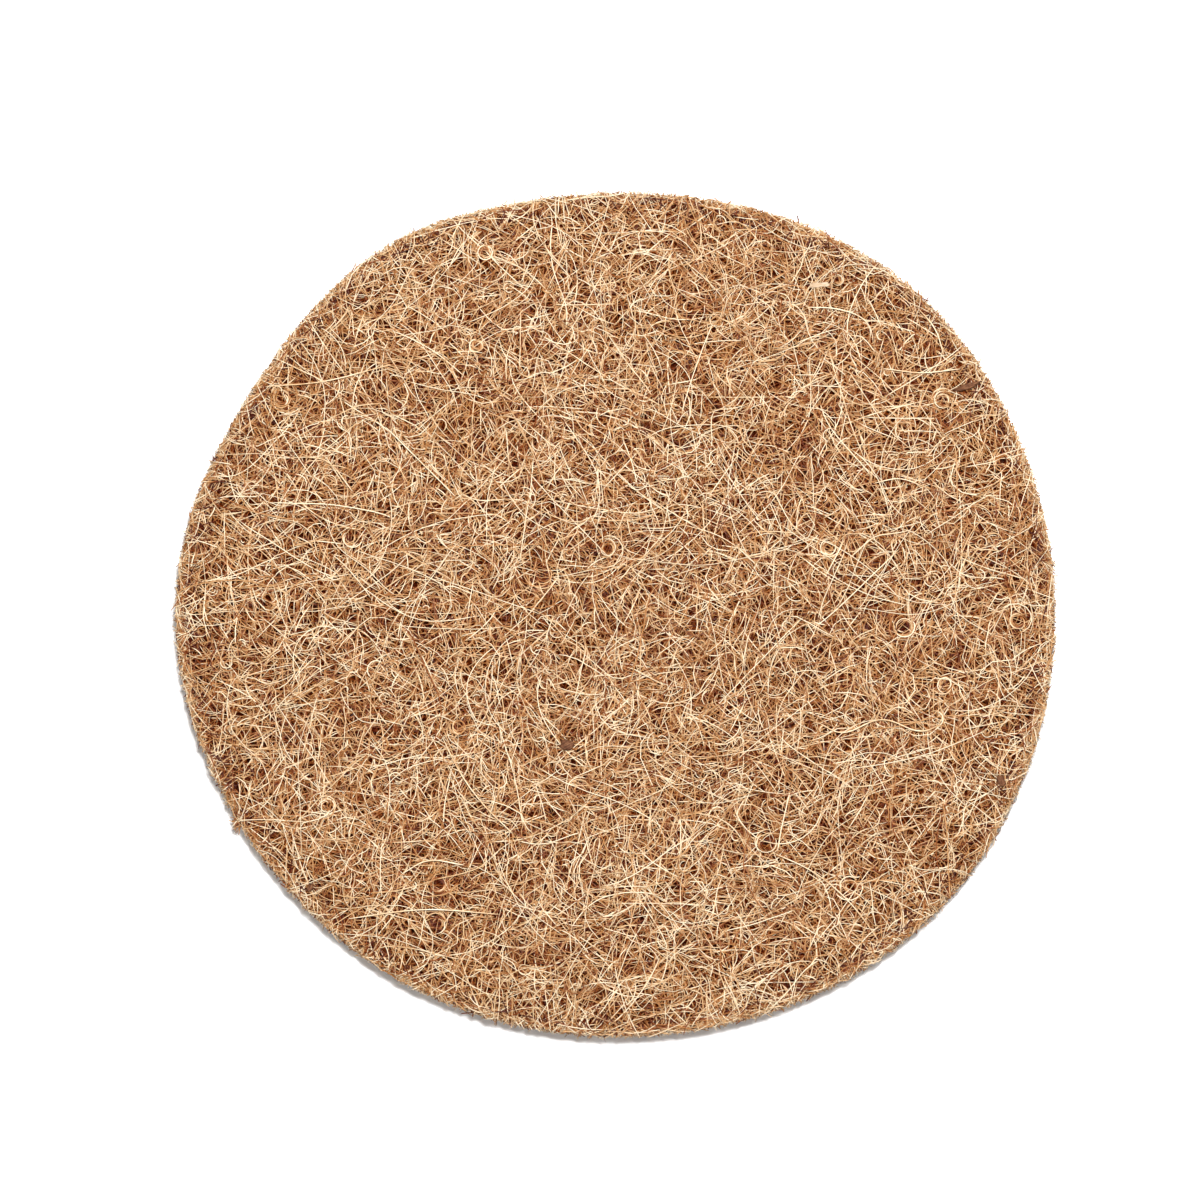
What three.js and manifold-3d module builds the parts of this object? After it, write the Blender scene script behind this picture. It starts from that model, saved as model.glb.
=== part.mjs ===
// A round mat of needle-punched coconut-fibre felt, cut by hand to an uneven circle.
// It is a lay-up of thin cross-laid webs, with loose long strands on the top web and a few bits of husk
// caught in it.
// Millimetres, +Z up. The origin is the centre of the underside, and the mat lies flat on Z = 0.
import * as THREE from "three";
import { mergeVertices } from "three/addons/utils/BufferGeometryUtils.js";
import Module from "manifold-3d";

// Driving dimensions.
const THICKNESS = 8; // of the whole lay-up, away from the rim
const WEB_NAMES = ["bottom_web", "lower_cross_web", "core_web", "upper_cross_web", "top_web"];
const WEB_TRIMS = [0.3, 0, 0.2, 0.5, 0.9]; // how far each web's cut edge lies inside the widest one
const GAP = 0.3; // between neighbouring pieces
const RIM_DROP = 1.2; // how much lower the top is at the cut edge than inside it
const RIM_BAND = 0.1; // share of the radius over which the top drops
const WAVE = 0.3; // height of the slow unevenness of the top
const STRAND_WIDTH = 0.4; // a coarse coir strand

// The cut edge: an ellipse, with the places where the hand cut strayed from it. Each has a direction and a
// spread in degrees, and how far out the edge lies there.
const HALF_WIDTH = 99;
const HALF_DEPTH = 95;
const STRAYS = [
  { direction: 50, spread: 26, out: 3 },
  { direction: 120, spread: 12, out: 2 },
  { direction: 152, spread: 16, out: -2 },
  { direction: 212, spread: 26, out: -1.5 },
  { direction: 315, spread: 26, out: 1.5 },
];
const RIM_SEGMENTS = 60;
const RING_SHARES = [0.3, 0.62, 1 - RIM_BAND, 1]; // rings of the web's mesh, as shares of the rim's radius

// Strands that lie loose on the top web: each is a list of [x, y] points along it.
const STRANDS = [
  [[-52, 42], [-44, 34], [-36, 26]],
  [[-79, 51], [-66, 52], [-50, 56]],
  [[-60, -69], [-43, -67], [-26, -68]],
  [[44, -25], [52, -27], [61, -24], [67, -27], [74, -25]],
  [[35, -54], [45, -59], [53, -66], [59, -74]],
  [[60, 55], [69, 54], [78, 55]],
  [[68, 69], [72, 64], [74, 58]],
  [[43, 69], [52, 68], [57, 65], [58, 61]],
  [[-48, -59], [-42, -56], [-34, -57]],
  [[-39, -28], [-35, -36], [-30, -43], [-23, -50]],
  [[-70, 35], [-65, 34], [-59, 27]],
  [[58, 29], [64, 30], [70, 28]],
];
const STRAND_SIDES = 6;
const STRAND_STEP = 1.6; // length of one straight piece of a strand

// Bits of husk: outline points in the bit's own plane, its turn about +Z in degrees, and its place.
const BEVEL = 0.15;
const HUSKS = [
  {
    name: "husk_sliver", slot: "husk", at: [79, 51], turn: 17, thick: 0.9, proud: 0.35,
    outline: [[-3.2, -0.1], [-1.4, -0.55], [1.2, -0.6], [3.1, 0.1], [1.6, 0.4], [-1, 0.35]],
  },
  {
    name: "husk_chip", slot: "husk", at: [-11, -30], turn: -6, thick: 1, proud: 0.3,
    outline: [[-1.3, -0.5], [-0.4, -1.1], [0.9, -0.8], [1.5, 0.2], [1.2, 1], [-1.2, 0.9]],
  },
  {
    name: "pith_flake", slot: "pith", at: [46, 74], turn: 4, thick: 0.6, proud: 0.15,
    outline: [[-2.2, -0.25], [0, -0.4], [2.1, -0.15], [1.8, 0.3], [-0.3, 0.35], [-2, 0.2]],
  },
  {
    name: "husk_scrap", slot: "husk", at: [86.5, -38], turn: -66, thick: 0.8, proud: 0.15,
    outline: [[-1.2, -0.4], [0.2, -0.8], [1.2, -0.2], [0.9, 0.6], [-0.7, 0.7]],
  },
  {
    name: "husk_crumb", slot: "husk", at: [-68.5, -62], turn: 35, thick: 0.7, proud: 0.15,
    outline: [[-0.6, -0.5], [0.4, -0.6], [0.7, 0.2], [0, 0.65], [-0.6, 0.3]],
  },
];

const wasm = await Module();
wasm.setup();

const COLOURS = { web: "#b98d64", core: "#a67a50", strand: "#dcb484", husk: "#6d5042", pith: "#cfc3b8" };

function material(colour) {
  return new THREE.MeshStandardMaterial({ color: COLOURS[colour], roughness: 0.85, metalness: 0 });
}

function named(name, geometry, colour) {
  const mesh = new THREE.Mesh(geometry, material(colour));
  mesh.name = name;
  return mesh;
}

// The cut edge's distance from the middle in a direction, in degrees.
function rimRadius(direction) {
  const angle = THREE.MathUtils.degToRad(direction);
  const across = HALF_DEPTH * Math.cos(angle);
  const along = HALF_WIDTH * Math.sin(angle);
  const ellipse = (HALF_WIDTH * HALF_DEPTH) / Math.hypot(across, along);
  return STRAYS.reduce((radius, stray) => {
    const away = THREE.MathUtils.euclideanModulo(direction - stray.direction + 180, 360) - 180;
    return radius + stray.out * Math.exp(-((away / stray.spread) ** 2));
  }, ellipse);
}

// The cut edge as a closed line, with the middle of its box on the origin.
function rimLine() {
  const line = Array.from({ length: RIM_SEGMENTS }, (_, i) => {
    const direction = (360 * i) / RIM_SEGMENTS;
    const angle = THREE.MathUtils.degToRad(direction);
    const radius = rimRadius(direction);
    return new THREE.Vector3(radius * Math.cos(angle), radius * Math.sin(angle), 0);
  });
  const middle = new THREE.Box3().setFromPoints(line).getCenter(new THREE.Vector3());
  return line.map((point) => point.sub(middle));
}

const rim = rimLine();

// How far out a place is, as a share of the rim's radius in that direction.
function shareOf(x, y) {
  const turn = (Math.atan2(y, x) / (2 * Math.PI) + 1) % 1;
  const index = Math.round(turn * RIM_SEGMENTS) % RIM_SEGMENTS;
  return Math.hypot(x, y) / rim[index].length();
}

// Height of the face between two webs: level 0 is the flat underside, and the last level is the top.
function height(level, x, y) {
  const rise = level / WEB_NAMES.length;
  const wave = WAVE * rise * (Math.sin(x / 19 + 1) * Math.cos(y / 23) + 0.5 * Math.sin((x + y) / 11));
  const edge = Math.max(0, (shareOf(x, y) - (1 - RIM_BAND)) / RIM_BAND);
  return THICKNESS * rise + wave * (1 - edge) - RIM_DROP * rise * rise * edge * edge;
}

function topHeight(x, y) {
  return height(WEB_NAMES.length, x, y);
}

// One web: a closed sheet between two levels, with rings of points about its middle.
function webGeometry(index) {
  const last = WEB_NAMES.length - 1;
  const lift = index === 0 ? 0 : GAP / 2;
  const lower = (x, y) => height(index, x, y) + lift;
  const upper = (x, y) => height(index + 1, x, y) - (index === last ? 0 : GAP / 2);
  const positions = [];
  const faces = [];
  for (const face of [lower, upper]) {
    positions.push(0, 0, face(0, 0));
    for (const share of RING_SHARES) {
      for (const point of rim) {
        const radius = point.length();
        const scale = (share * (radius - WEB_TRIMS[index])) / radius;
        const x = point.x * scale;
        const y = point.y * scale;
        positions.push(x, y, face(x, y));
      }
    }
  }
  const perFace = 1 + RING_SHARES.length * RIM_SEGMENTS;
  const at = (side, ring, segment) => side * perFace + 1 + ring * RIM_SEGMENTS + (segment % RIM_SEGMENTS);
  const triangle = (side, a, b, c) => faces.push(...(side ? [a, b, c] : [a, c, b]));
  for (const side of [0, 1]) {
    for (let i = 0; i < RIM_SEGMENTS; i++) {
      triangle(side, side * perFace, at(side, 0, i), at(side, 0, i + 1));
      for (let ring = 1; ring < RING_SHARES.length; ring++) {
        triangle(side, at(side, ring - 1, i), at(side, ring, i), at(side, ring, i + 1));
        triangle(side, at(side, ring - 1, i), at(side, ring, i + 1), at(side, ring - 1, i + 1));
      }
    }
  }
  const outer = RING_SHARES.length - 1;
  for (let i = 0; i < RIM_SEGMENTS; i++) {
    faces.push(at(0, outer, i), at(0, outer, i + 1), at(1, outer, i + 1));
    faces.push(at(0, outer, i), at(1, outer, i + 1), at(1, outer, i));
  }
  const geometry = new THREE.BufferGeometry();
  geometry.setAttribute("position", new THREE.Float32BufferAttribute(positions, 3));
  geometry.setIndex(faces);
  return geometry;
}

function solidOf(geometry) {
  const bare = geometry.clone();
  bare.deleteAttribute("normal");
  bare.deleteAttribute("uv");
  const merged = mergeVertices(bare, 1e-4);
  return new wasm.Manifold(new wasm.Mesh({
    numProp: 3,
    vertProperties: merged.attributes.position.array,
    triVerts: new Uint32Array(merged.index.array),
  }));
}

function geometryOf(solid) {
  const mesh = solid.getMesh();
  const geometry = new THREE.BufferGeometry();
  geometry.setAttribute("position", new THREE.BufferAttribute(mesh.vertProperties, 3));
  geometry.setIndex(new THREE.BufferAttribute(mesh.triVerts, 1));
  return geometry;
}

// Puts a bit's flat shape at its place, turned about +Z, with its base at the given height.
function placed(geometry, husk, base) {
  return geometry
    .rotateZ(THREE.MathUtils.degToRad(husk.turn))
    .translate(husk.at[0], husk.at[1], base);
}

function huskGeometry(husk) {
  const shape = new THREE.Shape(husk.outline.map(([x, y]) => new THREE.Vector2(x, y)));
  const geometry = new THREE.ExtrudeGeometry(shape, {
    depth: husk.thick - 2 * BEVEL,
    bevelThickness: BEVEL,
    bevelSize: BEVEL,
    bevelSegments: 1,
  });
  return placed(geometry, husk, topHeight(...husk.at) + husk.proud - husk.thick + BEVEL);
}

// The hollow that a bit of husk sits in: its outline with room all round, open at the top.
function pocketGeometry(husk) {
  const room = BEVEL + GAP;
  const reach = (axis) => Math.max(...husk.outline.map((point) => Math.abs(point[axis])));
  const stretch = [0, 1].map((axis) => 1 + (2 * room) / (reach(axis) * Math.SQRT2));
  const corners = husk.outline.map(([x, y]) => new THREE.Vector2(x * stretch[0], y * stretch[1]));
  const shape = new THREE.Shape(corners);
  const geometry = new THREE.ExtrudeGeometry(shape, { depth: THICKNESS, bevelEnabled: false });
  return placed(geometry, husk, topHeight(...husk.at) + husk.proud - husk.thick - GAP);
}

function topWebGeometry() {
  return geometryOf(HUSKS.reduce(
    (web, husk) => web.subtract(solidOf(pocketGeometry(husk))),
    solidOf(webGeometry(WEB_NAMES.length - 1)),
  ));
}

// A loose strand: a thin rod along its points, just clear of the top web.
function strandGeometry(points) {
  const clear = GAP + STRAND_WIDTH / 2;
  const path = new THREE.CatmullRomCurve3(
    points.map(([x, y]) => new THREE.Vector3(x, y, topHeight(x, y) + clear)),
  );
  const section = new THREE.Shape();
  for (let i = 0; i < STRAND_SIDES; i++) {
    const angle = (2 * Math.PI * i) / STRAND_SIDES;
    const x = (STRAND_WIDTH / 2) * Math.cos(angle);
    const y = (STRAND_WIDTH / 2) * Math.sin(angle);
    if (i === 0) section.moveTo(x, y);
    else section.lineTo(x, y);
  }
  section.closePath();
  const steps = Math.ceil(path.getLength() / STRAND_STEP);
  return new THREE.ExtrudeGeometry(section, { steps, extrudePath: path, bevelEnabled: false });
}

const mat = new THREE.Group();
WEB_NAMES.forEach((name, index) => {
  const isTop = index === WEB_NAMES.length - 1;
  mat.add(named(name, isTop ? topWebGeometry() : webGeometry(index), index === 2 ? "core" : "web"));
});
STRANDS.forEach((points, index) => {
  mat.add(named("surface_strand_" + String(index + 1).padStart(2, "0"), strandGeometry(points), "strand"));
});
HUSKS.forEach((husk) => mat.add(named(husk.name, huskGeometry(husk), husk.slot)));

export default mat;
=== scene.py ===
"""A round mat of needle-punched coir felt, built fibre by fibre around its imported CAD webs."""

import math

import bmesh
import bpy
import numpy as np
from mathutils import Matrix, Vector, noise
from mathutils.bvhtree import BVHTree

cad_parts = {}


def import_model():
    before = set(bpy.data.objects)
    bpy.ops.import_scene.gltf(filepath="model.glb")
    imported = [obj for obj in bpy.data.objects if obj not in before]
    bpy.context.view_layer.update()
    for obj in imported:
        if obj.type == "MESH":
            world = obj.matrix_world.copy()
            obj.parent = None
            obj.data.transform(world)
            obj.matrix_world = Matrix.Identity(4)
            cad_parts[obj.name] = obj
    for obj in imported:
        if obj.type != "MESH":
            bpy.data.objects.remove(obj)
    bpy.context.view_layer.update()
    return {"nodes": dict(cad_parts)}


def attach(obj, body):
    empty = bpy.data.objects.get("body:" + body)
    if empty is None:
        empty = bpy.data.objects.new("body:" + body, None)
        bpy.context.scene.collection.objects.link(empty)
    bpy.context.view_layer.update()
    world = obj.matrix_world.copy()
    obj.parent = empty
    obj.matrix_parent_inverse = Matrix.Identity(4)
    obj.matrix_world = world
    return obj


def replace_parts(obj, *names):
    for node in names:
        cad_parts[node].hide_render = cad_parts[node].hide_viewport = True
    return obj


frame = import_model()

MM = 0.001
TURN = 2 * math.pi
WEBS = ["bottom_web", "lower_cross_web", "core_web", "upper_cross_web", "top_web"]


# ---------------------------------------------------------------- the mat's shape, read from the CAD webs


def points_of(node):
    """The points of a CAD node's mesh."""
    return np.array([v.co for v in frame["nodes"][node].data.vertices])


RIM_RING = 0.94  # share of the largest radius beyond which a web's mesh has only its cut edge
JUST_INSIDE = 0.985  # share of the rim's radius where a ray down still meets the top


def rim_of(node):
    """The cut edge of a web, as angles and radii."""
    points = points_of(node)
    angle = np.arctan2(points[:, 1], points[:, 0]) % TURN
    radius = np.hypot(points[:, 0], points[:, 1])
    edge = radius > RIM_RING * radius.max()
    order = np.argsort(angle[edge])
    return angle[edge][order], radius[edge][order]


RIM_ANGLES, RIM_RADII = rim_of("lower_cross_web")


def rim_radius(angle):
    """The cut edge's radius at each angle."""
    return np.interp(angle % TURN, RIM_ANGLES, RIM_RADII, period=TURN)


def share_of(x, y):
    """How far out a place is, as a share of the rim's radius in its direction."""
    return np.hypot(x, y) / rim_radius(np.arctan2(y, x))


HEIGHT_SHARES = np.linspace(0, 1, 31)
HEIGHT_ANGLES = np.linspace(0, TURN, 73)[:-1]


def top_heights():
    """The top web's height at each share and angle, by rays straight down."""
    web = frame["nodes"]["top_web"].data
    tree = BVHTree.FromPolygons([v.co for v in web.vertices], [p.vertices for p in web.polygons])
    heights = np.zeros((len(HEIGHT_SHARES), len(HEIGHT_ANGLES)))
    for i, share in enumerate(HEIGHT_SHARES):
        for j, angle in enumerate(HEIGHT_ANGLES):
            radius = min(share, JUST_INSIDE) * rim_radius(angle)
            start = Vector((radius * math.cos(angle), radius * math.sin(angle), 1))
            heights[i, j] = tree.ray_cast(start, Vector((0, 0, -1)))[0].z
    return heights


HEIGHTS = top_heights()


def surface(x, y):
    """Height of the mat's top at each place."""
    row = np.clip(share_of(x, y), 0, 1) * (len(HEIGHT_SHARES) - 1)
    column = (np.arctan2(y, x) % TURN) / TURN * len(HEIGHT_ANGLES)
    i = np.minimum(row.astype(int), len(HEIGHT_SHARES) - 2)
    j = column.astype(int) % len(HEIGHT_ANGLES)
    k = (j + 1) % len(HEIGHT_ANGLES)
    u, v = row - i, column - np.floor(column)
    return (
        HEIGHTS[i, j] * (1 - u) * (1 - v)
        + HEIGHTS[i + 1, j] * u * (1 - v)
        + HEIGHTS[i, k] * (1 - u) * v
        + HEIGHTS[i + 1, k] * u * v
    )


LUMP_HEIGHT = 0.12 * MM


def lumps(x, y):
    """The felt's small unevenness: hummocks about 12 mm apart, on swells two or three times as wide."""
    a = np.sin(x * 520 + 1.3 * np.sin(y * 210)) * np.sin(y * 470 + 1.1 * np.sin(x * 260))
    b = np.sin(x * 190 - y * 130 + 2) * np.sin(y * 230 + x * 60)
    return LUMP_HEIGHT * (0.6 * a + 0.4 * b)


# ---------------------------------------------------------------- needle pits


CLEAR_PITS = 20  # the pits that stand out
PIT_SPACING = 9 * MM
PIT_JITTER = 0.45  # share of the spacing that a pit may lie off its grid
OUTERMOST_PIT = 0.95  # share of the rim's radius


def needle_pits(seed):
    """Places where the needles went in, the clear ones first: x, y and the radius of the opening."""
    rng = np.random.default_rng(seed)
    reach = RIM_RADII.max()
    steps = np.arange(-reach, reach, PIT_SPACING)
    x, y = (a.ravel() for a in np.meshgrid(steps, steps))
    x = x + rng.uniform(-PIT_JITTER, PIT_JITTER, x.size) * PIT_SPACING
    y = y + rng.uniform(-PIT_JITTER, PIT_JITTER, y.size) * PIT_SPACING
    radius = rng.gamma(2.2, 0.08, x.size).clip(0.05, 0.35) * MM
    pits = rng.permutation(np.column_stack([x, y, radius])[share_of(x, y) < OUTERMOST_PIT])
    pits[:CLEAR_PITS, 2] = rng.uniform(0.5, 0.9, CLEAR_PITS) * MM
    return pits


PITS = needle_pits(3)


BATCH = 20_000  # points at a time, so that the table of distances stays small
PUSH_REACH = 5.0  # how far a pit pushes fibres aside, in radii of its opening
DRAW_REACH = 1.8  # how far it draws them down, in the same radii
DRAW_DEPTH = 0.8  # how far down at its middle, in the same radii


def open_pits(x, y):
    """Pushes fibres aside round each pit, and returns the new places and how far they are drawn down."""
    flat_x, flat_y = x.ravel(), y.ravel()
    down = np.zeros(flat_x.size)
    for start in range(0, flat_x.size, BATCH):
        part = slice(start, start + BATCH)
        dx = flat_x[part, None] - PITS[:, 0]
        dy = flat_y[part, None] - PITS[:, 1]
        distance = np.hypot(dx, dy) + 1e-6
        nearest = np.argmin(distance, axis=1)
        rows = np.arange(nearest.size)
        d, r = distance[rows, nearest], PITS[nearest, 2]
        fade = np.exp(-((d / (PUSH_REACH * r)) ** 2))
        stretch = np.sqrt(d * d + r * r * fade) / d
        flat_x[part] += dx[rows, nearest] * (stretch - 1)
        flat_y[part] += dy[rows, nearest] * (stretch - 1)
        down[part] = DRAW_DEPTH * r * np.exp(-((d / (DRAW_REACH * r)) ** 2))
    return flat_x.reshape(x.shape), flat_y.reshape(y.shape), down.reshape(x.shape)


# ---------------------------------------------------------------- fibre paths


class Fibres:
    """Many fibres: their points one after another, how many each has, and each point's radius and tint. The
    tint holds painted shade as well.
    """

    def __init__(self, points, counts, radius, tint):
        self.points, self.counts, self.radius, self.tint = points, counts, radius, tint


# Multiples of these two, each less its whole part, spread evenly over a square.
EVEN_STEPS = (0.7548776662, 0.5698402910)


def places(rng, count, inner=0.0, outer=1.0):
    """Places on the mat between two shares of its radius, in random order but evenly spread."""
    order = rng.permutation(count)
    angle = TURN * ((order * EVEN_STEPS[0] + rng.uniform(0, 1)) % 1) + rng.normal(0, 0.004, count)
    even = (order * EVEN_STEPS[1] + rng.uniform(0, 1)) % 1
    share = np.sqrt(inner**2 + (outer**2 - inner**2) * even)
    radius = share * rim_radius(angle)
    return radius * np.cos(angle), radius * np.sin(angle)


def flow(x, y):
    """The direction that neighbouring fibres tend to share at each place, in radians."""
    return 3 * np.sin(x * 95 + 1.7 * np.sin(y * 70)) + 2.5 * np.sin(y * 110 + 1.2 * np.sin(x * 60) + 1)


def wander(rng, count, steps, length, bend, kink=0.0, follow=0.25, inner=0.0, outer=1.0):
    """Curving flat paths about random places: x and y, each (count, steps). A share follows the flow."""
    step = (length / (steps - 1))[:, None]
    along = np.linspace(0, 1, steps)
    arc = (rng.normal(0, 1, count) * bend)[:, None]
    sway = (rng.normal(0, 1, count) * bend)[:, None]
    waves = rng.uniform(0.4, 1.6, count)[:, None]
    phase = rng.uniform(0, TURN, count)[:, None]
    turning = arc + sway * np.sin(TURN * waves * along + phase)
    place_x, place_y = places(rng, count, inner, outer)
    free = rng.uniform(0, TURN, count)
    shared = flow(place_x, place_y) + rng.normal(0, 0.25, count)
    start = np.where(rng.uniform(0, 1, count) < follow, shared, free)
    heading = start[:, None] + np.cumsum(turning * step + rng.normal(0, kink, (count, steps)), axis=1)
    x = np.cumsum(step * np.cos(heading), axis=1)
    y = np.cumsum(step * np.sin(heading), axis=1)
    middle = steps // 2
    return x - x[:, [middle]] + place_x[:, None], y - y[:, [middle]] + place_y[:, None]


def cut_at_rim(x, y, z, limit, radius, tint):
    """Cuts each path where it crosses the rim, on both sides of its middle."""
    count, steps = x.shape
    radius, tint = np.broadcast_to(radius, x.shape), np.broadcast_to(tint, x.shape)
    share = share_of(x, y) / limit[:, None]
    outside = share > 1
    middle = steps // 2
    index = np.arange(steps)
    keep = ~outside[:, middle]
    first = np.where(outside & (index < middle), index, -1).max(axis=1)
    last = np.where(outside & (index > middle), index, steps).min(axis=1)
    rows = np.arange(count)
    for edge, inward, crosses in ((first, 1, first >= 0), (last, -1, last < steps)):
        row, out = rows[crosses & keep], edge[crosses & keep]
        inside = out + inward
        t = ((1 - share[row, inside]) / (share[row, out] - share[row, inside])).clip(0.05, 1)
        for values in (x, y, z):
            values[row, out] = values[row, inside] + t * (values[row, out] - values[row, inside])
    low, high = np.maximum(first, 0), np.minimum(last, steps - 1)
    keep &= high - low >= 2
    used = (index >= low[:, None]) & (index <= high[:, None]) & keep[:, None]
    points = np.column_stack([x[used], y[used], z[used]])
    return Fibres(points, used.sum(axis=1)[keep], radius[used], tint[used])


PAINTED_SHADE_PER_MM = 0.85  # painted shade: tint taken off for each mm below the surface
LIT_RIM = 0.03  # share of the radius, in from the rim, that light from the side also reaches, so less shade is painted there
LEAST_SHADE = 0.35  # share of the painted shade which is left at the rim
DARKEST_IN_THE_OPEN = 0.3  # least tint of a fibre, before painted shade darkens it


def shade(x, y, below):
    """How much tint a place loses as painted shade, for lying below the surface."""
    inside = ((1 - share_of(x, y)) / LIT_RIM).clip(LEAST_SHADE, 1)
    return PAINTED_SHADE_PER_MM * below / MM * inside


TRIM = 0.998  # where most fibres are cut, as a share of the rim's radius
STRAYS = 0.04  # share of fibres whose tips stick out
LONGEST_STRAY = 0.011  # how far at most, as a share of the rim's radius


def trims(rng, count):
    """Where the cut edge lies for each fibre, as a share of the rim's radius. A few tips stick out."""
    stray = (rng.uniform(0, 1, count) < STRAYS) * rng.uniform(0, LONGEST_STRAY, count)
    return TRIM + rng.normal(0, 0.004, count) + stray


LOWEST_TOP_FIBRE = 0.5 * MM


def top_fibres(seed, metres, length, steps, width, bend, depth, dive, tint, hug=2, kink=0.0, weave=(0, 0)):
    """Fibres in the top face, metres of them in all, as tubes of width mm. Each one's middle lies depth mm
    below the surface, and its ends dive further, more sharply where hug is larger. weave is how far in mm
    it dips under others on its way. bend and kink say how much it curves."""
    rng = np.random.default_rng(seed)
    count = int(metres / np.mean(length))
    reach = rng.uniform(*length, count)
    x, y = wander(rng, count, steps, reach, rng.uniform(*bend, count), kink)
    x, y, down = open_pits(x, y)
    along = np.linspace(-1, 1, steps) - rng.uniform(-0.3, 0.3, (count, 1))
    waves = reach[:, None] / rng.uniform(5, 10, (count, 1)) / MM
    dip = rng.uniform(*weave, (count, 1)) * MM
    dips = dip * (1 + np.sin(math.pi * waves * along + rng.uniform(0, TURN, (count, 1))))
    ends = rng.uniform(*dive, (count, 1)) * MM * np.abs(along) ** hug
    base = rng.uniform(*depth, (count, 1)) * MM
    radius = rng.uniform(*width, (count, 1)) * MM / 2
    below = base + ends + down + dips
    z = surface(x, y) + lumps(x, y) - below - radius
    z = np.maximum(z, LOWEST_TOP_FIBRE)
    # The fibre's own tint, less painted shade for how far it lies below the surface.
    tone = rng.normal(*tint, (count, 1)).clip(DARKEST_IN_THE_OPEN, None) - shade(x, y, below)
    return cut_at_rim(x, y, z, trims(rng, count), radius, tone)


def pit_rings(seed, pits, per_pit, sweep, width, tint):
    """Short fibres that curl round the needle pits and lean into them."""
    rng = np.random.default_rng(seed)
    steps = 10
    pit = np.repeat(np.arange(len(pits)), per_pit)
    count = len(pit)
    opening = pits[pit, 2][:, None]
    ring = opening + rng.gamma(2, 0.4, (count, 1)) * MM
    turn = rng.uniform(*sweep, (count, 1)) * rng.choice([-1, 1], (count, 1))
    angle = rng.uniform(0, TURN, (count, 1)) + turn * np.linspace(-0.5, 0.5, steps)
    spread = ring * (1 + rng.normal(0, 0.25, (count, 1)) * np.linspace(-1, 1, steps))
    x = pits[pit, 0][:, None] + spread * np.cos(angle)
    y = pits[pit, 1][:, None] + spread * np.sin(angle)
    radius = rng.uniform(*width, (count, 1)) * MM / 2
    ends = rng.uniform(0.2, 0.8, (count, 1)) * MM * np.linspace(-1, 1, steps) ** 4
    funnel = 0.9 * opening * np.exp(-(((spread - opening) / (1.2 * opening)) ** 2))
    below = rng.uniform(-0.1, 0.4, (count, 1)) * MM + ends + funnel
    z = surface(x, y) + lumps(x, y) - below
    # The fibre's own tint, less painted shade for how far it lies below the surface.
    tone = rng.normal(*tint, (count, 1)) - shade(x, y, below)
    return cut_at_rim(x, y, z, np.ones(count), radius, tone)


PAINTED_SHADE_INWARD = 0.34  # painted shade: tint taken off for each mm in from the cut edge


def wall_fibres(seed, metres, length, width, tint):
    """Short fibres in the cut edge, at every height between the two faces."""
    rng = np.random.default_rng(seed)
    count = int(metres / np.mean(length))
    steps = 6
    bend = rng.uniform(20, 120, count)
    x, y = wander(rng, count, steps, rng.uniform(*length, count), bend, follow=0, inner=0.975)
    radius = rng.uniform(*width, (count, 1)) * MM / 2
    rise = rng.uniform(0.03, 0.97, (count, 1))
    slope = rng.normal(0, 0.5 * MM, (count, 1)) * np.linspace(-1, 1, steps)
    z = (surface(x, y) * rise + slope).clip(0.25 * MM, None)
    z = np.minimum(z, surface(x, y) - radius)
    inward = (1 - share_of(x, y)).clip(0, None) * RIM_RADII.mean()
    # Fibres further in from the cut edge get painted shade.
    tone = rng.normal(*tint, (count, 1)) - PAINTED_SHADE_INWARD * inward / MM
    return cut_at_rim(x, y, z, trims(rng, count), radius, tone)


def tuft(seed, direction, count, length, width, tint):
    """A few fibres that stick out together at the rim, in that direction in degrees."""
    rng = np.random.default_rng(seed)
    steps = 6
    out = np.linspace(-0.7, 0.25, steps) * rng.uniform(*length, (count, 1))
    side = rng.normal(0, 0.6, (count, 1)) * MM + out * rng.normal(0, 0.5, (count, 1))
    angle = math.radians(direction)
    radius = rim_radius(np.array([angle])) + out
    x = radius * math.cos(angle) - side * math.sin(angle)
    y = radius * math.sin(angle) + side * math.cos(angle)
    z = rng.uniform(2, 6, (count, 1)) * MM + out * rng.normal(0, 0.4, (count, 1))
    z = z.clip(0.3 * MM, None)
    thick = rng.uniform(*width, (count, 1)) * MM / 2
    uncut = np.full(count, 1.1)
    return cut_at_rim(x, y, z, uncut, thick, rng.normal(*tint, (count, 1)))


def underside_fibres(seed, metres, length, width, tint):
    """Fibres that lie flat on the floor, with their ends turned up into the felt."""
    rng = np.random.default_rng(seed)
    count = int(metres / np.mean(length))
    steps = int(np.mean(length) / (2.2 * MM)) + 2
    x, y = wander(rng, count, steps, rng.uniform(*length, count), rng.uniform(10, 120, count))
    radius = rng.uniform(*width, (count, 1)) * MM / 2
    along = np.abs(np.linspace(-1, 1, steps))
    z = radius + rng.uniform(0, 0.5, (count, 1)) * MM + 0.6 * MM * along**4
    return cut_at_rim(x, y, z, 1 + rng.normal(-0.003, 0.003, count), radius, rng.normal(*tint, (count, 1)))


# ---------------------------------------------------------------- meshes


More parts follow.
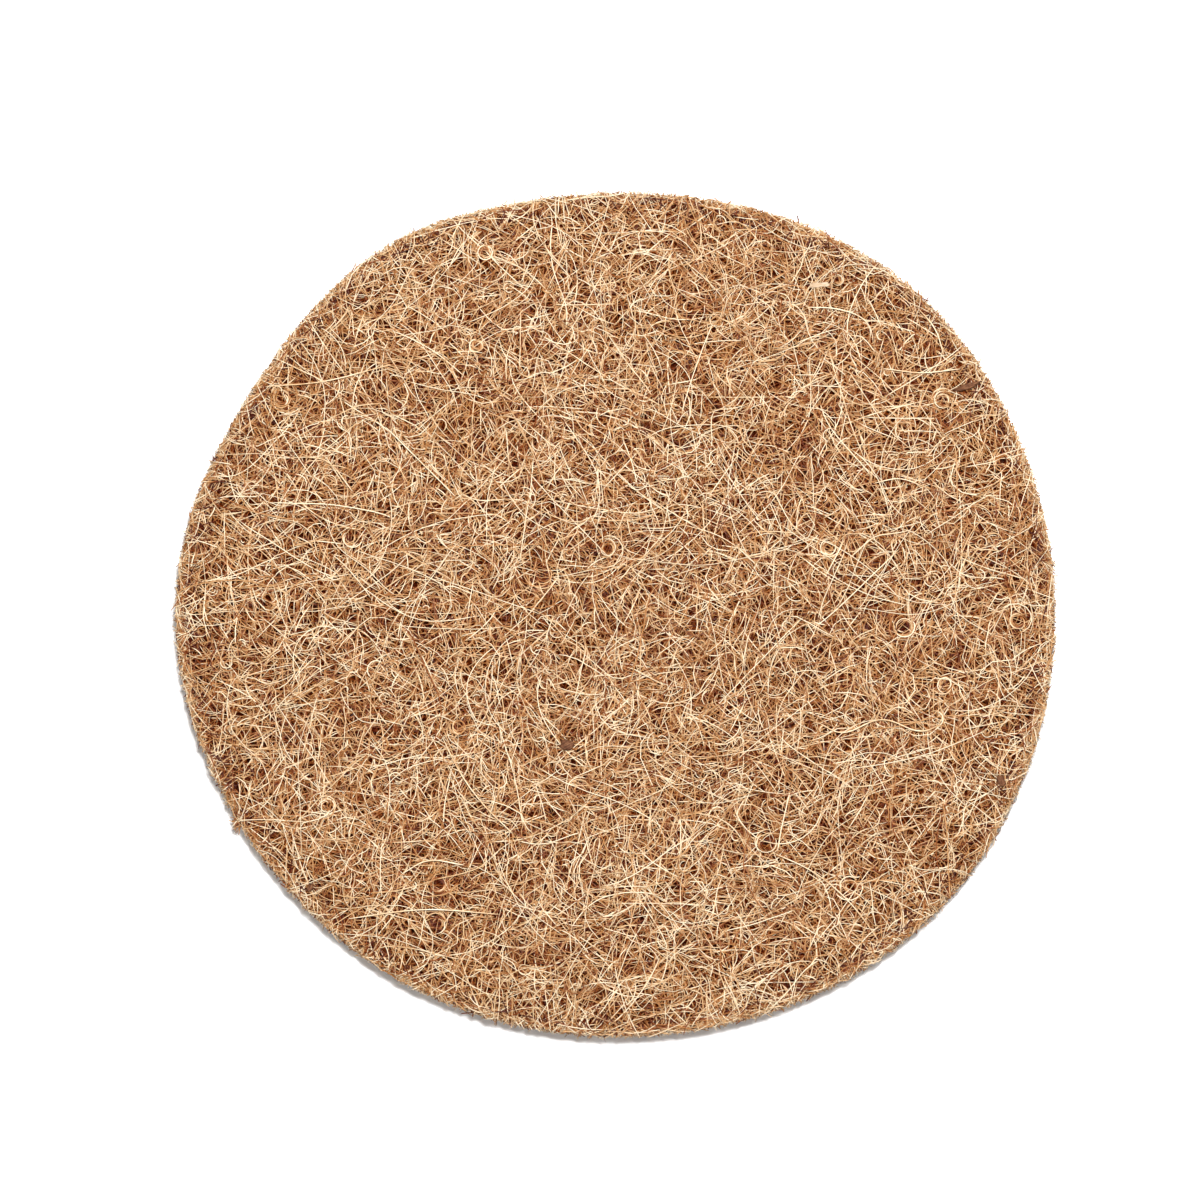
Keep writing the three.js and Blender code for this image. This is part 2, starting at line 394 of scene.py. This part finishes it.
def mesh_object(name, vertices, faces, sides, uv=None, tint=None):
    """A smooth-shaded mesh from numpy arrays. faces is a flat list of corners, and sides says how many
    of them each face has."""
    mesh = bpy.data.meshes.new(name)
    mesh.vertices.add(len(vertices))
    mesh.vertices.foreach_set("co", np.asarray(vertices, np.float32).ravel())
    mesh.loops.add(len(faces))
    mesh.loops.foreach_set("vertex_index", np.asarray(faces, np.int32))
    mesh.polygons.add(len(sides))
    starts = np.concatenate([[0], np.cumsum(sides)[:-1]]).astype(np.int32)
    mesh.polygons.foreach_set("loop_start", starts)
    mesh.polygons.foreach_set("use_smooth", np.ones(len(sides), bool))
    if uv is not None:
        mesh.uv_layers.new(name="OFBake").data.foreach_set("uv", np.asarray(uv, np.float32).ravel())
    if tint is not None:
        mesh.attributes.new("tint", "FLOAT", "POINT").data.foreach_set("value", np.asarray(tint, np.float32))
    mesh.update(calc_edges=True)
    mesh.validate()
    piece = bpy.data.objects.new(name, mesh)
    bpy.context.scene.collection.objects.link(piece)
    return piece


END_NARROWING = 0.55


def tubes(name, fibres, sides, seed=0):
    """Every fibre as a closed tube with narrower ends, and its own cell in the UV map."""
    rng = np.random.default_rng(seed)
    points, counts = fibres.points, fibres.counts
    total, many = len(points), len(counts)
    fibre = np.repeat(np.arange(many), counts)
    starts = np.concatenate([[0], np.cumsum(counts)[:-1]])
    place = np.arange(total) - starts[fibre]
    is_first, is_last = place == 0, place == counts[fibre] - 1
    ahead = points[np.where(is_last, np.arange(total), np.arange(total) + 1).clip(max=total - 1)]
    behind = points[np.where(is_first, np.arange(total), np.arange(total) - 1)]
    tangent = ahead - behind
    tangent /= np.linalg.norm(tangent, axis=1, keepdims=True) + 1e-12
    across = np.cross(tangent, [0, 0, 1])
    across /= np.linalg.norm(across, axis=1, keepdims=True) + 1e-12
    upward = np.cross(across, tangent)
    twist = rng.uniform(0, TURN, many)[fibre]
    radius = fibres.radius * np.where(is_first | is_last, END_NARROWING, 1.0)
    ring = []
    for side in range(sides):
        angle = twist + TURN * side / sides
        outward = np.cos(angle)[:, None] * across + np.sin(angle)[:, None] * upward
        ring.append(points + radius[:, None] * outward)
    vertices = np.stack(ring, axis=1).reshape(-1, 3)
    body = np.flatnonzero(~is_last)
    side = np.arange(sides)
    near, far = body[:, None] * sides, (body[:, None] + 1) * sides
    following = (side + 1) % sides
    quads = np.stack([near + side, near + following, far + following, far + side], axis=2).reshape(-1, 4)
    start_caps = np.flatnonzero(is_first)[:, None] * sides + side[::-1]
    end_caps = np.flatnonzero(is_last)[:, None] * sides + side
    faces = np.concatenate([quads.ravel(), start_caps.ravel(), end_caps.ravel()])
    face_sides = np.concatenate([np.full(len(quads), 4), np.full(2 * many, sides)])
    grid = math.ceil(math.sqrt(many))
    along = place / (counts[fibre] - 1)
    cell = np.column_stack([fibre % grid, fibre // grid]) / grid
    margin, span = 0.15 / grid, 0.7 / grid
    u_near, u_far = along[body], along[body + 1]
    v_low = np.tile(side / sides, len(body))
    v_high = np.tile((side + 1) / sides, len(body))
    corner_u = np.stack([np.repeat(u, sides) for u in (u_near, u_near, u_far, u_far)], axis=1)
    corner_v = np.stack([v_low, v_high, v_high, v_low], axis=1)
    corner_cell = np.repeat(cell[body], sides, axis=0)[:, None, :]
    quad_uv = corner_cell + margin + span * np.stack([corner_u, corner_v], axis=2)
    cap_v = np.tile(side / sides, (many, 1))
    start_cap = np.stack([np.zeros_like(cap_v), cap_v[:, ::-1]], axis=2)
    end_cap = np.stack([np.ones_like(cap_v), cap_v], axis=2)
    start_uv = cell[is_first][:, None, :] + margin + span * start_cap
    end_uv = cell[is_last][:, None, :] + margin + span * end_cap
    uv = np.concatenate([quad_uv.reshape(-1, 2), start_uv.reshape(-1, 2), end_uv.reshape(-1, 2)])
    return mesh_object(name, vertices, faces, face_sides, uv, np.repeat(fibres.tint, sides))


RAGGEDNESS = 0.12 * MM  # of the slabs' edges


def felt_slab(name, bottom, top, inset, rings, segments=240):
    """A closed sheet of felt between two height functions, with a slightly ragged edge."""
    rng = np.random.default_rng(len(name))
    angles = np.arange(segments) * TURN / segments
    ragged = rng.normal(0, RAGGEDNESS, segments)
    edge = rim_radius(angles) - inset + ragged
    vertices, faces, sides = [], [], []
    for height in (bottom, top):
        vertices.append([[0, 0, float(height(np.zeros(1), np.zeros(1))[0])]])
        for share in rings:
            x, y = share * edge * np.cos(angles), share * edge * np.sin(angles)
            vertices.append(np.column_stack([x, y, height(x, y)]))
    per_face = 1 + len(rings) * segments

    def at(face, ring, segment):
        return face * per_face + 1 + ring * segments + segment % segments

    for face in (0, 1):
        for i in range(segments):
            triangle = [face * per_face, at(face, 0, i), at(face, 0, i + 1)]
            faces.extend(triangle if face else triangle[::-1])
            sides.append(3)
            for ring in range(1, len(rings)):
                quad = [at(face, ring - 1, i), at(face, ring, i)]
                quad += [at(face, ring, i + 1), at(face, ring - 1, i + 1)]
                faces.extend(quad if face else quad[::-1])
                sides.append(4)
    outer = len(rings) - 1
    for i in range(segments):
        faces.extend([at(0, outer, i), at(0, outer, i + 1), at(1, outer, i + 1), at(1, outer, i)])
        sides.append(4)
    return mesh_object(name, np.concatenate(vertices), faces, sides)


# ---------------------------------------------------------------- materials


def material(name):
    """A new material, its node tree and its shader."""
    made = bpy.data.materials.new(name)
    made.use_nodes = True
    return made, made.node_tree, made.node_tree.nodes["Principled BSDF"]


def srgb(red, green, blue):
    """A colour given as 0 to 255 sRGB, in the linear values that shaders take."""
    def linear(value):
        value /= 255
        return value / 12.92 if value <= 0.04045 else ((value + 0.055) / 1.055) ** 2.4
    return (linear(red), linear(green), linear(blue), 1)


def ramp(tree, stops):
    """A colour ramp with stops of (position, colour)."""
    node = tree.nodes.new("ShaderNodeValToRGB")
    elements = node.color_ramp.elements
    while len(elements) < len(stops):
        elements.new(0.5)
    for element, (position, colour) in zip(elements, stops):
        element.position = position
        element.color = colour
    return node


def wired(tree, kind, **inputs):
    """A node of that kind. Each input is a value, or the output that it is linked to."""
    node = tree.nodes.new(kind)
    for name, value in inputs.items():
        socket = node.inputs[int(name[1:]) if name[1:].isdigit() else name.replace("_", " ")]
        if isinstance(value, bpy.types.NodeSocket):
            tree.links.new(value, socket)
        else:
            socket.default_value = value
    return node


def maths(tree, operation, *values):
    """The output of a Math node."""
    node = wired(tree, "ShaderNodeMath", **{f"i{i}": value for i, value in enumerate(values)})
    node.operation = operation
    return node.outputs[0]


def speckle(tree, scale, detail=2.0, vector=None):
    """Noise from 0 to 1 whose grains are 1/scale metres apart."""
    place = vector or tree.nodes.new("ShaderNodeTexCoord").outputs["Object"]
    return wired(tree, "ShaderNodeTexNoise", Vector=place, Scale=scale, Detail=detail).outputs["Fac"]


def grain(tree, turn, along, across, detail=2.0):
    """Noise drawn out into streaks that run in the direction turn, of a length along and a width across."""
    place = tree.nodes.new("ShaderNodeTexCoord").outputs["Object"]
    size = (along, across, across)
    mapping = wired(tree, "ShaderNodeMapping", Vector=place, Rotation=(0, 0, turn), Scale=size)
    mapping.vector_type = "TEXTURE"
    return speckle(tree, 1, detail, mapping.outputs["Vector"])


BLOTCHES = 0.35  # of tint, along a fibre
PATCHES = 0.1  # of tint, over the mat
ROUGHNESS_RANGE = 0.3


def fibre_material(name, stops, roughness, gloss, ridges=0.0):
    """Coir: each fibre has its own tint, with blotches along it and slow patches over the mat. The tint also
    carries painted shade, darker the deeper the fibre lies. Its roughness varies along it too, and it has
    relief where ridges, in metres, is more than 0."""
    made, tree, shader = material(name)
    tint = tree.nodes.new("ShaderNodeAttribute")
    tint.attribute_name = "tint"
    blotches = maths(tree, "MULTIPLY_ADD", speckle(tree, 600, 3), BLOTCHES, tint.outputs["Fac"])
    tone = maths(tree, "MULTIPLY_ADD", speckle(tree, 30), PATCHES, blotches)
    colours = ramp(tree, stops)
    tree.links.new(maths(tree, "SUBTRACT", tone, (BLOTCHES + PATCHES) / 2), colours.inputs["Fac"])
    tree.links.new(colours.outputs["Color"], shader.inputs["Base Color"])
    patches = speckle(tree, 1400, 1)
    least = roughness - ROUGHNESS_RANGE / 2
    worn = maths(tree, "MULTIPLY_ADD", patches, ROUGHNESS_RANGE, least)
    tree.links.new(worn, shader.inputs["Roughness"])
    if ridges:
        pores = speckle(tree, 9000, 1)
        bump = wired(tree, "ShaderNodeBump", Distance=ridges, Height=pores)
        tree.links.new(bump.outputs["Normal"], shader.inputs["Normal"])
    shader.inputs["Specular IOR Level"].default_value = gloss
    return made


COIR_STOPS = [
    (0.0, srgb(78, 22, 0)),
    (0.25, srgb(124, 60, 12)),
    (0.5, srgb(166, 117, 68)),
    (0.75, srgb(194, 160, 120)),
    (1.0, srgb(218, 200, 172)),
]
COIR = fibre_material("coir_fibre", COIR_STOPS, 0.4, 0.35)
COIR_INNER = fibre_material("coir_fibre_inner", COIR_STOPS, 0.75, 0.05)
COIR_STRAND = fibre_material("coir_strand", COIR_STOPS, 0.34, 0.5, 0.03 * MM)


def felt_material():
    """The inside of the felt: coir brown painted dark with the shade that falls deep among its fibres, with
    crossing streaks of deeper fibres.
    """
    made, tree, shader = material("coir_felt_painted_shade")
    streaks = 0.0
    for turn in (0.2, 1.2, 2.2, 2.9):
        streaks = maths(tree, "MAXIMUM", grain(tree, turn, 4 * MM, 0.4 * MM, 1), streaks)
    colours = ramp(tree, [(0.5, srgb(44, 18, 5)), (0.62, srgb(88, 50, 22)), (0.75, srgb(128, 86, 48))])
    tree.links.new(streaks, colours.inputs["Fac"])
    tree.links.new(colours.outputs["Color"], shader.inputs["Base Color"])
    bump = wired(tree, "ShaderNodeBump", Distance=0.3 * MM, Height=streaks)
    tree.links.new(bump.outputs["Normal"], shader.inputs["Normal"])
    shader.inputs["Roughness"].default_value = 0.85
    return made


FELT_PAINTED_SHADE = felt_material()


def bark_material(name, turn, stops):
    """Husk or pith: streaks along its grain, in colour, roughness and relief."""
    made, tree, shader = material(name)
    streaks = grain(tree, turn, 2.5 * MM, 0.16 * MM, 4)
    colours = ramp(tree, stops)
    tone = maths(tree, "MULTIPLY_ADD", speckle(tree, 900, 3), 0.5, streaks)
    tree.links.new(maths(tree, "SUBTRACT", tone, 0.25), colours.inputs["Fac"])
    tree.links.new(colours.outputs["Color"], shader.inputs["Base Color"])
    tree.links.new(maths(tree, "MULTIPLY_ADD", streaks, 0.4, 0.45), shader.inputs["Roughness"])
    bump = wired(tree, "ShaderNodeBump", Distance=0.12 * MM, Height=streaks)
    tree.links.new(bump.outputs["Normal"], shader.inputs["Normal"])
    shader.inputs["Specular IOR Level"].default_value = 0.2
    return made


# ---------------------------------------------------------------- pieces


def dress(piece, made):
    """Gives a piece its material and body."""
    piece.data.materials.append(made)
    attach(piece, "root")
    return piece


SKIN = 2.2 * MM  # depth of loose fibre above the solid felt
MOST_TRIANGLES = 190_000  # in one piece


def level(index):
    """The height function of the face under web number index."""
    return lambda x, y: (surface(x, y) - SKIN) * index / len(WEBS)


SLAB_INSET = 1.2 * MM  # how far the slabs' edges lie inside the fibres of the cut edge
SLAB_RINGS = (0.25, 0.5, 0.75, 0.9, 0.97, 1)


def underface(x, y):
    """The flat face just above the fibres of the underside."""
    return np.full_like(x, 0.35 * MM)


for index, web in enumerate(WEBS):
    base = underface if index == 0 else level(index)
    slab = felt_slab(web + "_felt", base, level(index + 1), SLAB_INSET, SLAB_RINGS)
    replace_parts(dress(slab, FELT_PAINTED_SHADE), web)


fibre_pieces = {}


def add_fibres(name, fibres, sides, made=COIR):
    """The fibres as one piece or several, so that no piece is too heavy."""
    rings = np.cumsum(fibres.counts)
    pieces = math.ceil(rings[-1] * sides * 2 / MOST_TRIANGLES)
    borders = np.searchsorted(rings, np.linspace(0, rings[-1], pieces + 1)[1:-1])
    starts = [0, *borders, len(fibres.counts)]
    fibre_pieces[name] = []
    for number in range(pieces):
        first, last = starts[number], starts[number + 1]
        from_ring = rings[first - 1] if first else 0
        span = slice(from_ring, rings[last - 1])
        part = Fibres(fibres.points[span], fibres.counts[first:last], fibres.radius[span], fibres.tint[span])
        label = f"{name}_{number + 1}" if pieces > 1 else name
        fibre_pieces[name].append(dress(tubes(label, part, sides, number), made))


# name, seed, metres, sides, material, and the rest of what top_fibres takes
LAYERS = [
    # The deep fibres' lower tint is painted shade.
    ("deep_fibres", 10, 110, 3, COIR_INNER, dict(
        length=(0.008, 0.016), steps=5, width=(0.24, 0.36), bend=(5, 120), depth=(1.2, 2.2), dive=(0, 0.3),
        tint=(0.6, 0.15))),
    ("middle_fibres", 11, 140, 3, COIR_INNER, dict(
        length=(0.006, 0.016), steps=5, width=(0.21, 0.34), bend=(10, 130), depth=(0.6, 1.5), dive=(0.2, 0.9),
        tint=(0.84, 0.26), kink=0.06)),
    ("face_fibres", 12, 220, 3, COIR, dict(
        length=(0.004, 0.017), steps=6, width=(0.18, 0.31), bend=(10, 190), depth=(0.0, 0.7), dive=(0.4, 1.5),
        tint=(0.87, 0.27), hug=3, kink=0.06)),
    ("curled_fibres", 13, 70, 3, COIR, dict(
        length=(0.004, 0.01), steps=8, width=(0.2, 0.31), bend=(120, 360), depth=(0.0, 0.6), dive=(0.4, 1.4),
        tint=(0.84, 0.24))),
    ("long_fibres", 14, 50, 3, COIR, dict(
        length=(0.012, 0.036), steps=16, width=(0.19, 0.32), bend=(2, 70), depth=(-0.1, 0.5), dive=(0.6, 1.6),
        tint=(0.86, 0.24), hug=8, kink=0.03, weave=(0.0, 0.15))),
]
for name, seed, metres, sides, made, rest in LAYERS:
    add_fibres(name, top_fibres(seed, metres, **rest), sides, made)
add_fibres("clear_pit_fibres", pit_rings(30, PITS[:CLEAR_PITS], 11, (1.5, 5), (0.22, 0.34), (0.9, 0.25)), 4)
add_fibres("pit_fibres", pit_rings(31, PITS[CLEAR_PITS:], 6, (0.8, 3.6), (0.2, 0.32), (0.8, 0.25)), 3)
add_fibres("cut_edge_fibres", wall_fibres(20, 90, (0.004, 0.01), (0.18, 0.32), (0.85, 0.22)), 3, COIR)
add_fibres("rim_tuft", tuft(22, 209, 40, (0.004, 0.008), (0.2, 0.32), (0.6, 0.2)), 5)
add_fibres("stray_hair", tuft(23, 43, 2, (0.006, 0.008), (0.15, 0.2), (0.5, 0.1)), 5)
underside = underside_fibres(21, 60, (0.012, 0.04), (0.24, 0.36), (0.45, 0.15))
add_fibres("underside_fibres", underside, 3, COIR_INNER)


# ---------------------------------------------------------------- strands and bits of husk that CAD places


def long_axis(points):
    """One end of a long thin set of points, its direction and its length, all in plan."""
    plan = points[:, :2]
    apart = np.linalg.norm(plan[:, None] - plan[None], axis=2)
    one, other = np.unravel_index(np.argmax(apart), apart.shape)
    return plan[one], (plan[other] - plan[one]) / apart.max(), apart.max()


def strand(node, seed):
    """A coarse strand along its CAD rod, lying on the fibres, with its ends tucked in."""
    rng = np.random.default_rng(seed)
    points = points_of(node)
    start, ahead, length = long_axis(points)
    across = np.array([-ahead[1], ahead[0]])
    off = points[:, :2] - start
    bends = np.polynomial.Polynomial.fit(off @ ahead, off @ across, 6)
    steps = int(length / (0.5 * MM))
    t = np.linspace(0, length, steps)
    x, y = (start + t[:, None] * ahead + bends(t)[:, None] * across).T
    along = np.abs(np.linspace(-1, 1, steps))
    sway = np.sin(t * rng.uniform(300, 500) + rng.uniform(0, TURN))
    z = surface(x, y) + (0.25 + 0.08 * sway - 0.9 * along**12) * MM
    width = rng.uniform(0.26, 0.31) * MM * (1 + 0.1 * np.sin(t * 900 + seed))
    radius = width / 2 * (1 - 0.5 * along**6)
    tint = rng.uniform(0.8, 1.0) + 0.1 * sway
    fibres = Fibres(np.column_stack([x, y, z]), np.array([steps]), radius, tint)
    piece = tubes(node + "_fibre", fibres, 10, seed)
    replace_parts(dress(piece, COIR_STRAND), node)


for number in range(1, 13):
    strand(f"surface_strand_{number:02d}", number)

HUSK_STOPS = [(0.2, srgb(40, 18, 8)), (0.5, srgb(94, 58, 36)), (0.8, srgb(142, 104, 74))]
PITH_STOPS = [(0.2, srgb(138, 110, 84)), (0.5, srgb(178, 154, 128)), (0.8, srgb(206, 190, 172))]


LONGEST_EDGE = 0.16 * MM  # in a bit's mesh, so that its relief has enough points


def husk(node, stops, splinters, seed):
    """A rough bit with grain along it, from its CAD solid, and loose splinters on it."""
    rng = np.random.default_rng(seed)
    points = points_of(node)
    start, ahead, length = long_axis(points)
    across = np.array([-ahead[1], ahead[0]])
    bm = bmesh.new()
    bm.from_mesh(frame["nodes"][node].data)
    bmesh.ops.remove_doubles(bm, verts=bm.verts, dist=0.001 * MM)
    for _ in range(5):
        bmesh.ops.triangulate(bm, faces=bm.faces)
        long_edges = [edge for edge in bm.edges if edge.calc_length() > LONGEST_EDGE]
        bmesh.ops.subdivide_edges(bm, edges=long_edges, cuts=1)
    bmesh.ops.triangulate(bm, faces=bm.faces)
    bm.normal_update()
    moves = []
    for vertex in bm.verts:
        off = np.array(vertex.co.xy) - start
        u, v, w = off @ ahead, off @ across, vertex.co.z
        ridges = noise.noise(Vector((u * 350, v * 3200, w * 3200)))
        waves = noise.noise(Vector((u * 700, v * 700, w * 700 + seed)))
        moves.append(vertex.normal * (0.11 * ridges + 0.16 * waves) * MM)
    for vertex, move in zip(bm.verts, moves):
        vertex.co += move
    steps = 8
    t = np.linspace(-0.5, 0.5, steps)
    reach = length * rng.uniform(0.3, 0.6, (splinters, 1))
    centre = start + ahead * length / 2
    u = rng.uniform(-0.3, 0.3, (splinters, 1)) * length + reach * t
    sides = (points[:, :2] - centre) @ across
    v = rng.uniform(sides.min(), sides.max(), (splinters, 1)) * 0.8
    v = v + reach * t * rng.normal(0, 0.12, (splinters, 1))
    x = centre[0] + u * ahead[0] + v * across[0]
    y = centre[1] + u * ahead[1] + v * across[1]
    z = points[:, 2].max() - (rng.uniform(0, 0.3, (splinters, 1)) + 0.25 * np.abs(2 * t) ** 3) * MM
    radius = rng.uniform(0.05, 0.11, (splinters, 1)) * MM * (1 - 0.6 * np.abs(2 * t) ** 2)
    fibres = cut_at_rim(x, y, z, np.full(splinters, 1.0), radius, np.zeros((splinters, 1)))
    loose = tubes(node + "_bark", fibres, 6, seed)
    bm.from_mesh(loose.data)
    bm.to_mesh(loose.data)
    bm.free()
    loose.data.uv_layers.remove(loose.data.uv_layers["OFBake"])
    loose.data.attributes.remove(loose.data.attributes["tint"])
    loose.data.polygons.foreach_set("use_smooth", np.ones(len(loose.data.polygons), bool))
    made = bark_material(node + "_bark", math.atan2(ahead[1], ahead[0]), stops)
    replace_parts(dress(loose, made), node)


husk("husk_sliver", HUSK_STOPS, 16, 1)
husk("husk_chip", HUSK_STOPS, 6, 2)
husk("husk_scrap", HUSK_STOPS, 12, 3)
husk("husk_crumb", HUSK_STOPS, 8, 4)
husk("pith_flake", PITH_STOPS, 10, 5)


# ---------------------------------------------------------------- stage, light and camera


FLOOR_REACH = 0.7  # beyond this the white world stands in for more of the same floor


def floor():
    """The pale floor under the mat."""
    mesh = bpy.data.meshes.new("floor")
    corners = [(x * FLOOR_REACH, y * FLOOR_REACH, 0) for x, y in ((-1, -1), (1, -1), (1, 1), (-1, 1))]
    mesh.from_pydata(corners, [], [(0, 1, 2, 3)])
    made, _, shader = material("pale_floor")
    shader.inputs["Base Color"].default_value = (0.92, 0.92, 0.92, 1)
    shader.inputs["Roughness"].default_value = 0.9
    mesh.materials.append(made)
    piece = bpy.data.objects.new("floor", mesh)
    bpy.context.scene.collection.objects.link(piece)


def area_light(name, place, size, power):
    """A square lamp of that size in metres and power in watts, aimed at the mat."""
    light = bpy.data.lights.new(name, "AREA")
    light.size = size
    light.energy = power
    lamp = bpy.data.objects.new(name, light)
    lamp.location = place
    lamp.rotation_euler = (-Vector(place)).to_track_quat("-Z", "Y").to_euler()
    bpy.context.scene.collection.objects.link(lamp)


def world(overhead, horizon):
    """Light from all round, brighter low down, so that the cut edge is lit and the background white."""
    made = bpy.data.worlds.new("studio")
    made.use_nodes = True
    tree = made.node_tree
    direction = tree.nodes.new("ShaderNodeTexCoord").outputs["Generated"]
    height = wired(tree, "ShaderNodeSeparateXYZ", Vector=direction).outputs["Z"]
    light = ramp(tree, [(0.3, (horizon,) * 3 + (1,)), (0.6, (overhead,) * 3 + (1,))])
    tree.links.new(height, light.inputs["Fac"])
    tree.links.new(light.outputs["Color"], tree.nodes["Background"].inputs["Color"])
    bpy.context.scene.world = made


VIEW_WIDTH = 270.2 * MM  # at the mat


def camera():
    """A long lens, almost straight above the mat."""
    data = bpy.data.cameras.new("camera")
    data.lens = 250
    data.sensor_width = 36
    eye = bpy.data.objects.new("camera", data)
    target = Vector((-3.5 * MM, 3 * MM, 4 * MM))
    elevation = math.radians(85)
    back = Vector((0, -math.cos(elevation), math.sin(elevation)))
    eye.location = target + back * (VIEW_WIDTH / data.sensor_width * data.lens)
    eye.rotation_euler = (-back).to_track_quat("-Z", "Y").to_euler()
    bpy.context.scene.collection.objects.link(eye)
    bpy.context.scene.camera = eye


floor()
world(0.12, 1.0)
area_light("key", (0.08, 0.2, 1.1), 0.2, 23.5)
area_light("front", (-0.5, -0.9, 0.7), 0.6, 3.2)
camera()
bpy.context.scene.view_settings.view_transform = "Standard"
bpy.context.scene.view_settings.gamma = 0.9  # a little more contrast than a plain view

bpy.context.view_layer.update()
